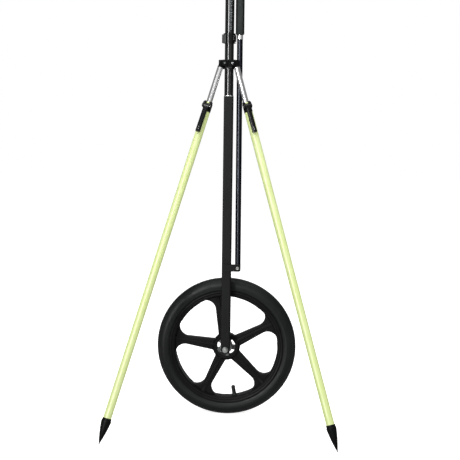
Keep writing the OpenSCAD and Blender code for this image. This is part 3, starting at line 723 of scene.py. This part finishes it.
def wheel_body():
    """Plate with five windows, rim, hub ring and a rib on each spoke."""
    window = window_outline()
    loops = [circle(150.2, 240), circle(28.5, 96)]
    for k in range(SPOKE_COUNT):
        angle = FIRST_WINDOW + SPOKE_PITCH * k
        loops.append([rotate_point(p, angle) for p in window])
    shapes = [
        rounded_plate(loops, half=10.0, radius=2.4, place=WHEEL),
        ring(rounded(with_mirror(RIM_HALF), 0.9, 2), 720, WHEEL, rim_radius),
        ring(rounded(HUB_RING, 1.1, 3), 144, WHEEL),
    ]
    for k in range(SPOKE_COUNT):
        spoke = WHEEL @ turn(FIRST_SPOKE + SPOKE_PITCH * k, "Z")
        shapes.append(bar(spoke_rib_stations(), spoke))
        for sign in (-1, 1):
            shapes.append(bar(SHOULDER, spoke @ move(0, sign * 7.4, 0), 3))
    return join(shapes)


def hub_webs():
    """Collar on the hub core and the five webs out to the hub ring, bare cast metal."""
    collar = [(14.62, -15), (17.2, -15), (17.2, 15), (14.62, 15)]
    shapes = [ring(rounded(collar, 0.7, 3), 96, WHEEL)]
    for k in range(SPOKE_COUNT):
        shapes.append(bar(WEB, WHEEL @ turn(FIRST_WINDOW + SPOKE_PITCH * k, "Z")))
    return join(shapes)


piece("wheel_body", wheel_body(), "wheel_plastic", body="wheel",
      replaces="mag_wheel", sharp=32, weighted=True)
piece("hub_webs", hub_webs(), "web_alloy", body="wheel", sharp=32,
      weighted=True)

# ---------------------------------------------------------------- tyre
SECTION_CENTRE = 176.5                      # radius of the circle through the section centres
TREAD_RADIUS, LINER_RADIUS = 23.5, 19.8     # outside and inside of the section
SIDEWALL_END = 121.0                        # degrees round the section from the tread's middle
# on each half: degrees from the tread's middle, half width in degrees, depth or height in mm
GROOVES = ((0, 2.6, 1.1), (10.5, 2.4, 1.2), (21.5, 2.4, 1.2), (34, 2.2, 1.0))
SIDE_RIBS = ((84.5, 1.8, 0.55), (91.0, 1.6, 0.5), (107.0, 2.0, 0.45))
# (radius, height) of one bead
BEAD = [(163.0, 18.2), (153.9, 17.7), (153.9, 12.8), (158, 12.4)]


def tread_depth(angle):
    """How far the skin lies under the tread circle, at an angle from the tread's middle."""
    depth = 0.0
    for centre, half_width, groove in GROOVES:
        away = abs(angle - centre)
        if away < half_width:
            depth = max(depth, groove * min(1.0, (half_width - away) / 0.9))
    if angle > 50:                          # the tread cap ends in a small step
        depth = max(depth, 0.55 * min(1.0, (angle - 50) / 1.2))
    for centre, half_width, height in SIDE_RIBS:
        away = abs(angle - centre)
        if away < half_width:
            depth -= height * min(1.0, (half_width - away) / 0.8)
    return max(0.0, depth)


def section_angles():
    """Angles round the section, closer together at the details, the same on both halves."""
    distances = set()
    angle = -SIDEWALL_END
    while angle <= SIDEWALL_END + 0.001:
        b = abs(angle)
        distances.add(round(b, 3))
        fine = b < 37 or 48 < b < 53 or 81 < b < 94 or 104 < b < 110
        angle = round(angle + (0.75 if fine else 3.0), 4)
    half = sorted(distances)
    return [-b for b in reversed(half) if b > 0] + half


def tyre():
    """Tread with grooves, shoulder steps, sidewall ribs, and beads in the rim."""
    profile = []
    for degrees in section_angles():
        reach = TREAD_RADIUS - tread_depth(abs(degrees))
        a = math.radians(degrees)
        profile.append((SECTION_CENTRE + reach * math.cos(a), reach * math.sin(a)))
    profile += BEAD
    profile += arc((SECTION_CENTRE, 0), LINER_RADIUS, 129, -129, 24)
    profile += [(r, -h) for r, h in reversed(BEAD)]
    return ring(profile, 300, WHEEL)


piece("tyre_cover", tyre(), "tyre_rubber", body="wheel", replaces="tyre",
      sharp=28)

# ---------------------------------------------------------------- valve
# local Z runs towards the wheel centre, height 0
VALVE = WHEEL @ turn(280, "Z") @ turn(-90, "Y")
# (radius, height)
VALVE_CAP = [
    (0, -120.7), (4.08, -120.7), (4.08, -129.2), (5.2, -129.2), (5.6, -128.8), (5.7, -128.2),
    (5.7, -127.6), (5.7, -122.6), (5.7, -121.4), (5.3, -120.2), (4.5, -119.0), (3.6, -118.3),
    (2.4, -118.0), (0, -117.9),
]
# boot round the valve, flared where it leaves the rim
VALVE_BOOT = [
    (4.12, -149.8), (10.2, -149.8), (10.0, -147.8), (7.6, -145.6), (6.4, -142.4),
    (5.8, -138.0), (5.4, -130.6), (5.0, -129.5), (4.12, -129.5),
]


def cap_radius(angle, r, h):
    """Sixteen flutes round the side of the cap."""
    if r > 5.5 and -127.9 < h < -121:
        return r - 0.42 * (0.5 + 0.5 * math.cos(16 * angle)) ** 2
    return r


piece("valve_cap_fluted", solid(VALVE_CAP, 96, VALVE, cap_radius), "vial_black", body="wheel",
      replaces="valve_cap")
piece("valve_boot", ring(rounded(VALVE_BOOT, 0.35, 3), 72, VALVE), "tyre_rubber", body="wheel")

# ---------------------------------------------------------------- foam grip on the handle rod
grip_lo, grip_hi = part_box("handle_grip")
GRIP_LEAN = math.radians(0.26)
GRIP = (Matrix.Translation((grip_lo + grip_hi) / 2)
        @ Matrix.Rotation(-GRIP_LEAN, 4, "Y"))
GRIP_LENGTH = (grip_hi.z - grip_lo.z) / MM
# the box is widened by the lean
GRIP_RADIUS = (grip_hi.x - grip_lo.x) / MM / 2 - math.sin(GRIP_LEAN) * GRIP_LENGTH / 2
GRIP_BORE = 8.02
BOTTOM_ROUND, TOP_ROUND = 3.2, 2.4


def foam_radius(angle, r, h):
    """Fine pitting and slow waves in the outer skin."""
    if r < GRIP_RADIUS - 2.6:
        return r
    c, s = math.cos(angle), math.sin(angle)
    pits = noise.noise(Vector((c * 7, s * 7, h * 0.55)))
    waves = noise.noise(Vector((c * 1.2, s * 1.2, h * 0.03)) + Vector((9, 3, 1)))
    return min(GRIP_RADIUS, r - 0.10 + 0.09 * pits + 0.10 * waves)


def grip():
    rows = 120
    half = GRIP_LENGTH / 2
    bottom = -half + BOTTOM_ROUND
    profile = [(GRIP_BORE, -half + 1.2)]
    profile += arc((GRIP_RADIUS - BOTTOM_ROUND, bottom), BOTTOM_ROUND, -90, 0, 6)
    profile += [(GRIP_RADIUS, bottom + (2 * half - 2 * BOTTOM_ROUND) * i / rows)
                for i in range(1, rows)]
    profile += arc((GRIP_RADIUS - TOP_ROUND, half - TOP_ROUND), TOP_ROUND, 0, 90, 6)
    profile.append((GRIP_BORE, half - 0.2))
    return ring(profile, 128, GRIP, foam_radius)


piece("grip_foam", grip(), "foam_black", body="handle",
      replaces="handle_grip", sharp=60)

# ---------------------------------------------------------------- scale on the upper tube
SCALE_ANGLE = math.radians(-90 + 14.8)      # middle of the scale, a little right of world -Y
SCALE_BOTTOM, SCALE_TOP = 1093, 1551
TICK_LEFT = -3.5
INK_BOTTOM, TICK_INK, DIGIT_INK = -0.05, 0.07, 0.09     # heights over the tube's skin
DIGIT_SIZE = 5.4
DIGIT_PITCH = 2.45


def on_tube(x, z, lift):
    """x round the tube with + to the right, z up, lift above the tube."""
    a = SCALE_ANGLE + x / TUBE_RADIUS
    r = (TUBE_RADIUS + lift) * MM
    return Vector((r * math.cos(a), POLE_Y + r * math.sin(a), z * MM))


def tick(z, right, half_height):
    """Curved bar from the left edge of the scale."""
    count = max(1, int(math.ceil((right - TICK_LEFT) / 0.9)))
    low, high = z - half_height, z + half_height
    sections = []
    for i in range(count + 1):
        x = TICK_LEFT + (right - TICK_LEFT) * i / count
        sections.append([on_tube(x, low, INK_BOTTOM), on_tube(x, low, TICK_INK),
                         on_tube(x, high, TICK_INK), on_tube(x, high, INK_BOTTOM)])
    return loft(sections)


def digit_shapes():
    """Extruded shapes of the ten digits, centred on x = 0."""
    shapes = {}
    for digit in "0123456789":
        curve = bpy.data.curves.new("digit_tmp", "FONT")
        curve.body = digit
        curve.size = DIGIT_SIZE
        curve.extrude = 0.5
        curve.resolution_u = 2
        curve.align_x = "CENTER"
        curve.offset = DIGIT_SIZE * 0.012
        obj = bpy.data.objects.new("digit_tmp", curve)
        bpy.context.scene.collection.objects.link(obj)
        bpy.context.view_layer.update()
        depsgraph = bpy.context.evaluated_depsgraph_get()
        mesh = bpy.data.meshes.new_from_object(obj.evaluated_get(depsgraph))
        bm = bmesh.new()
        bm.from_mesh(mesh)
        bmesh.ops.remove_doubles(bm, verts=bm.verts, dist=1e-4)
        bmesh.ops.triangulate(bm, faces=[f for f in bm.faces if len(f.verts) > 4])
        shapes[digit] = ([tuple(v.co) for v in bm.verts],
                         [tuple(v.index for v in f.verts) for f in bm.faces])
        bm.free()
        bpy.data.objects.remove(obj)
        bpy.data.curves.remove(curve)
        bpy.data.meshes.remove(mesh)
    return shapes


def label(z, digits):
    """Height in centimetres, just above the tick at z."""
    shapes = []
    for i, digit in enumerate(str(z // 10)):
        verts, faces = digits[digit]
        middle = (i - 1) * DIGIT_PITCH + 0.35
        points = [on_tube(middle + v[0] * 0.78, z + 2.6 + v[1] * 1.15,
                          DIGIT_INK if v[2] > 0 else INK_BOTTOM) for v in verts]
        shapes.append((points, faces))
    return shapes


def scale_marks():
    """A tick every millimetre, longer ones every 5 and 10, labels every 10."""
    digits = digit_shapes()
    shapes = []
    for z in range(SCALE_BOTTOM, SCALE_TOP + 1):
        if abs(z - 1323) < 9:               # hidden under the level's bracket
            continue
        if z % 10 == 0:
            shapes.append(tick(z, right=3.5, half_height=0.3))
            if z < 1545 and not 1306 <= z <= 1334:
                shapes += label(z, digits)
        elif z % 5 == 0:
            shapes.append(tick(z, right=-1.7, half_height=0.2))
        else:
            shapes.append(tick(z, right=-2.7, half_height=0.14))
    return join(shapes)


piece("scale_marks", scale_marks(), "scale_print", body="frame", sharp=30)

# ---------------------------------------------------------------- small parts on the legs
LEG_X = -17                                 # leg axis, seen from the lever's pivot
# (radius, height) of the ring round the leg, on the hinge side of the pivot
WIPER = [(8.2, 8.6), (10.3, 8.6), (10.3, 12.4), (9.5, 13.2), (8.2, 13.2)]


def lever_matrix(side):
    """Lever frame: origin on the pivot, Z along the leg towards the hinge,
    Y along the pivot, X away from the leg."""
    joint = JOINTS[f"release_{side}_squeeze"]
    z = -LEG_DIRECTION[side]
    y = Vector(joint["axis"]).normalized()
    if side == "left":
        y = -y
    x = y.cross(z).normalized()
    if side == "left" and x.y >= 0:         # the left lever is on the -Y side of its leg
        x = -x
    axes = Matrix.Identity(4)
    for i in range(3):
        axes[i][0], axes[i][1], axes[i][2] = x[i], y[i], z[i]
    return Matrix.Translation(Vector(joint["pos_m"])) @ axes


def screw(place, r, h):
    """Small pan-head screw along local X, with a four-lobed recess in the dome."""
    profile = [(0, -0.6), (r * 0.75, -0.6), (r * 0.78, -0.05), (r, 0.0), (r, h * 0.35),
               (r * 0.86, h * 0.72), (r * 0.6, h * 0.93), (r * 0.34, h * 0.55), (0, h * 0.45)]

    def recess(angle, radius, z):
        if r * 0.3 < radius < r * 0.5 and z > 0:
            return radius * (1 - 0.30 * max(0.0, math.cos(4 * angle)))
        return radius
    return solid(profile, 32, place @ turn(90, "Y"), recess)


for side in SIDES:
    lever = lever_matrix(side)
    blade = lever @ turn(-2.6, "Y")
    leg = lever @ move(LEG_X, 0, 0)
    lever_screws = [screw(blade @ move(3.45, 0, z), r=1.45, h=0.9) for z in (-68.8, -63.0)]
    piece(f"lever_screws_{side}", join(lever_screws), "pin_steel", body=f"release_{side}")
    # a pair of screws in the clamp, on the lever's side of the leg
    clamp_screws = [screw(leg @ move(11.2, sign * 8.2, 9.0), r=1.5, h=0.8) for sign in (-1, 1)]
    piece(f"clamp_screws_{side}", join(clamp_screws), "pin_steel", body=f"foot_{side}")
    piece(f"wiper_ring_{side}", ring(rounded(WIPER, 0.5, 3), 72, leg), f"leg_yellow_{side}",
          body=f"foot_{side}")

# ---------------------------------------------------------------- level: ring mark and bubble
glass_lo, glass_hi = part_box("level_glass")
glass_middle = (glass_lo + glass_hi) / 2
VIAL = Matrix.Translation((glass_middle.x, glass_middle.y, glass_hi.z))
# (radius, height over the glass)
RING_MARK = [(3.3, -0.15), (3.85, -0.15), (3.85, 0.12), (3.3, 0.12)]
BUBBLE = [(0, -0.25), (2.35, -0.25), (2.6, -0.05), (2.5, 0.25), (2.0, 0.5), (1.2, 0.66),
          (0.5, 0.72), (0, 0.73)]

piece("level_ring", ring(rounded(RING_MARK, 0.05, 2), 64, VIAL), "vial_black", body="frame")
piece("level_bubble", solid(BUBBLE, 48, VIAL), "vial_plastic", body="frame")

# ---------------------------------------------------------------- top adapter
adapter_lo, adapter_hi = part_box("top_adapter")
ADAPTER = Matrix.Translation(((adapter_lo.x + adapter_hi.x) / 2,
                              (adapter_lo.y + adapter_hi.y) / 2, 0))
STUD_HEIGHT = 16.0
STUD_FOOT = adapter_hi.z / MM - STUD_HEIGHT     # top face of the collar
STUD_RADIUS = 7.94
THREAD_PITCH, THREAD_DEPTH = 2.309, 1.12
COLLAR_RADIUS = 15.8
KNURL_COUNT, KNURL_DEPTH = 60, 0.30


def adapter_radius(angle, r, h):
    """Thread on the stud, fading at both ends, and two knurled bands on the collar."""
    z = h - STUD_FOOT
    if r == STUD_RADIUS:
        turns = (z / THREAD_PITCH - angle / (2 * math.pi)) % 1.0
        flank = (abs(turns - 0.5) * 2 - 0.12) / 0.76
        depth = THREAD_DEPTH * min(1.0, max(0.0, flank))
        fade = (min(1.0, max(0.0, (STUD_FOOT + 15.9 - h) / 1.6))
                * min(1.0, max(0.0, (z - 0.5) / 0.8)))
        return STUD_RADIUS - depth - (1 - fade) * (THREAD_DEPTH - depth) * 0.9
    if r == COLLAR_RADIUS and (-16.3 < z < -11.5 or -6.4 < z < -1.6):
        return r - KNURL_DEPTH * (0.5 + 0.5 * math.cos(KNURL_COUNT * angle))
    return r


def top_stud():
    """Shank, collar with a waist, and threaded stud."""
    rows = 96
    # (radius, height over the collar's top face)
    profile = [(0, -45), (8.8, -45), (9.37, -44.4), (9.37, -17.9), (14.9, -17.9),
               (COLLAR_RADIUS, -17.2)]
    profile += [(COLLAR_RADIUS, -16.6 + 0.7 * i) for i in range(8)]
    profile += [(15.4, -11.1), (14.6, -10.3), (14.3, -9.2), (14.6, -8.1), (15.4, -7.3)]
    profile += [(COLLAR_RADIUS, -6.7 + 0.7 * i) for i in range(8)]
    profile += [(COLLAR_RADIUS, -0.7), (15.0, 0), (8.6, 0), (7.2, 0.25)]
    profile += [(STUD_RADIUS, 0.6 + (15.0 - 0.6) * i / rows) for i in range(rows + 1)]
    profile += [(6.6, 15.9), (6.2, STUD_HEIGHT), (0, STUD_HEIGHT)]
    return solid([(r, STUD_FOOT + z) for r, z in profile], 480, ADAPTER, adapter_radius)


piece("top_stud", top_stud(), "bright_alloy", body="extension",
      replaces="top_adapter", sharp=40)


# ---------------------------------------------------------------- stage
def add_floor():
    bm = bmesh.new()
    bmesh.ops.create_grid(bm, x_segments=24, y_segments=24, size=9.0)
    mesh = bpy.data.meshes.new("studio_floor")
    bm.to_mesh(mesh)
    bm.free()
    floor = link_mesh("studio_floor", mesh)
    floor.location = (0, 0, -0.0003)
    # pale and nearly glowing to the camera, a dim grey to all other rays
    m = Shader("floor_pale", (0.86, 0.86, 0.86), rough=0.7)
    slow = m.noise(scale=0.8, detail=2)
    camera_ray = m.camera_ray()
    pale = m.mix(m.remap(slow, span=(0.3, 0.7)), (0.85, 0.85, 0.85), (0.88, 0.88, 0.88))
    m.set(Base_Color=m.mix(camera_ray, (0.36, 0.36, 0.36), pale))
    m.set(Specular_IOR_Level=0.0, Emission_Color=(1, 1, 1),
          Emission_Strength=m.remap(m.camera_ray(), span=(0, 1), to=(0.07, 0.78)))
    floor.data.materials.append(m.material)


# (position from world -Y to +Y, grey) of the room that lights the object
ROOM = ((0.0, 0.80), (0.10, 0.74), (0.24, 0.24), (0.65, 0.20), (0.85, 0.27), (1.0, 0.38))


def add_world():
    """White to the camera; to other rays a room that is bright behind the camera."""
    world = bpy.data.worlds.new("studio")
    bpy.context.scene.world = world
    world.use_nodes = True
    nodes, link = world.node_tree.nodes, world.node_tree.links.new
    nodes.clear()
    output = nodes.new("ShaderNodeOutputWorld")
    mix = nodes.new("ShaderNodeMixShader")
    backdrop = nodes.new("ShaderNodeBackground")
    backdrop.inputs["Color"].default_value = (1, 1, 1, 1)
    backdrop.inputs["Strength"].default_value = 1.0
    room = nodes.new("ShaderNodeBackground")
    room.inputs["Strength"].default_value = 1.0
    coords = nodes.new("ShaderNodeTexCoord")
    split = nodes.new("ShaderNodeSeparateXYZ")
    link(coords.outputs["Generated"], split.inputs[0])
    depth = nodes.new("ShaderNodeMapRange")
    depth.inputs["From Min"].default_value = -1.0
    depth.inputs["From Max"].default_value = 1.0
    link(split.outputs["Y"], depth.inputs["Value"])
    ramp = nodes.new("ShaderNodeValToRGB")
    stops = ramp.color_ramp.elements
    while len(stops) < len(ROOM):
        stops.new(0.5)
    for stop, (position, grey) in zip(stops, ROOM):
        stop.position = position
        stop.color = (grey, grey, grey, 1)
    link(depth.outputs["Result"], ramp.inputs["Fac"])
    link(ramp.outputs["Color"], room.inputs["Color"])
    light_path = nodes.new("ShaderNodeLightPath")
    link(light_path.outputs["Is Camera Ray"], mix.inputs[0])
    link(room.outputs[0], mix.inputs[1])
    link(backdrop.outputs[0], mix.inputs[2])
    link(mix.outputs[0], output.inputs[0])


LIGHT_TARGET = Vector((0, 0.05, 0.75))


def area_light(name, azimuth, elevation, distance, size, power, diffuse=True, glossy=True):
    """Area light aimed at the target. Azimuth 0 is on the -Y side, + turns to +X."""
    light = bpy.data.lights.new(name, "AREA")
    light.shape = "RECTANGLE"
    light.size, light.size_y = size
    light.energy = power
    obj = bpy.data.objects.new(name, light)
    bpy.context.scene.collection.objects.link(obj)
    a, e = math.radians(azimuth), math.radians(elevation)
    outward = Vector((math.sin(a) * math.cos(e), -math.cos(a) * math.cos(e), math.sin(e)))
    obj.location = LIGHT_TARGET + outward * distance
    obj.rotation_mode = "QUATERNION"
    obj.rotation_quaternion = (-outward).to_track_quat("-Z", "Y")
    obj.visible_diffuse = diffuse
    obj.visible_glossy = glossy


def add_camera():
    data = bpy.data.cameras.new("photo_camera")
    data.sensor_width = 36.0
    data.sensor_fit = "HORIZONTAL"
    data.lens = 86.0869565
    data.clip_start, data.clip_end = 0.05, 60
    camera = bpy.data.objects.new("photo_camera", data)
    bpy.context.scene.collection.objects.link(camera)
    azimuth, tilt, roll = (math.radians(x) for x in (3.36075, 7.13441, 0.76698))
    forward = Vector((-math.sin(azimuth) * math.cos(tilt),
                      math.cos(azimuth) * math.cos(tilt), -math.sin(tilt)))
    level = Vector((math.cos(azimuth), math.sin(azimuth), 0))
    upright = level.cross(forward)
    right = math.cos(roll) * level + math.sin(roll) * upright
    up = -math.sin(roll) * level + math.cos(roll) * upright
    matrix = Matrix.Identity(4)
    for i in range(3):
        matrix[i][0], matrix[i][1], matrix[i][2] = right[i], up[i], -forward[i]
    matrix[0][3], matrix[1][3], matrix[2][3] = 0.188879, -3.113143 + WHEEL_Y, 0.928120
    camera.matrix_world = matrix
    bpy.context.scene.camera = camera


add_floor()
add_world()
area_light("key_strip", azimuth=-24, elevation=9, distance=3.4, size=(0.40, 2.4), power=150,
           diffuse=False)
area_light("key_soft", azimuth=-20, elevation=34, distance=3.3, size=(1.5, 1.6), power=80,
           glossy=False)
area_light("fill_right", azimuth=48, elevation=30, distance=3.2, size=(1.4, 1.8), power=22,
           glossy=False)
area_light("top_soft", azimuth=-5, elevation=78, distance=3.0, size=(2.0, 2.0), power=58)
area_light("back_rim", azimuth=165, elevation=40, distance=3.2, size=(1.8, 1.8), power=12)
add_camera()

view = bpy.context.scene.view_settings
view.view_transform = "Standard"
view.look = "None"
view.exposure = 0.0
view.gamma = 1.0
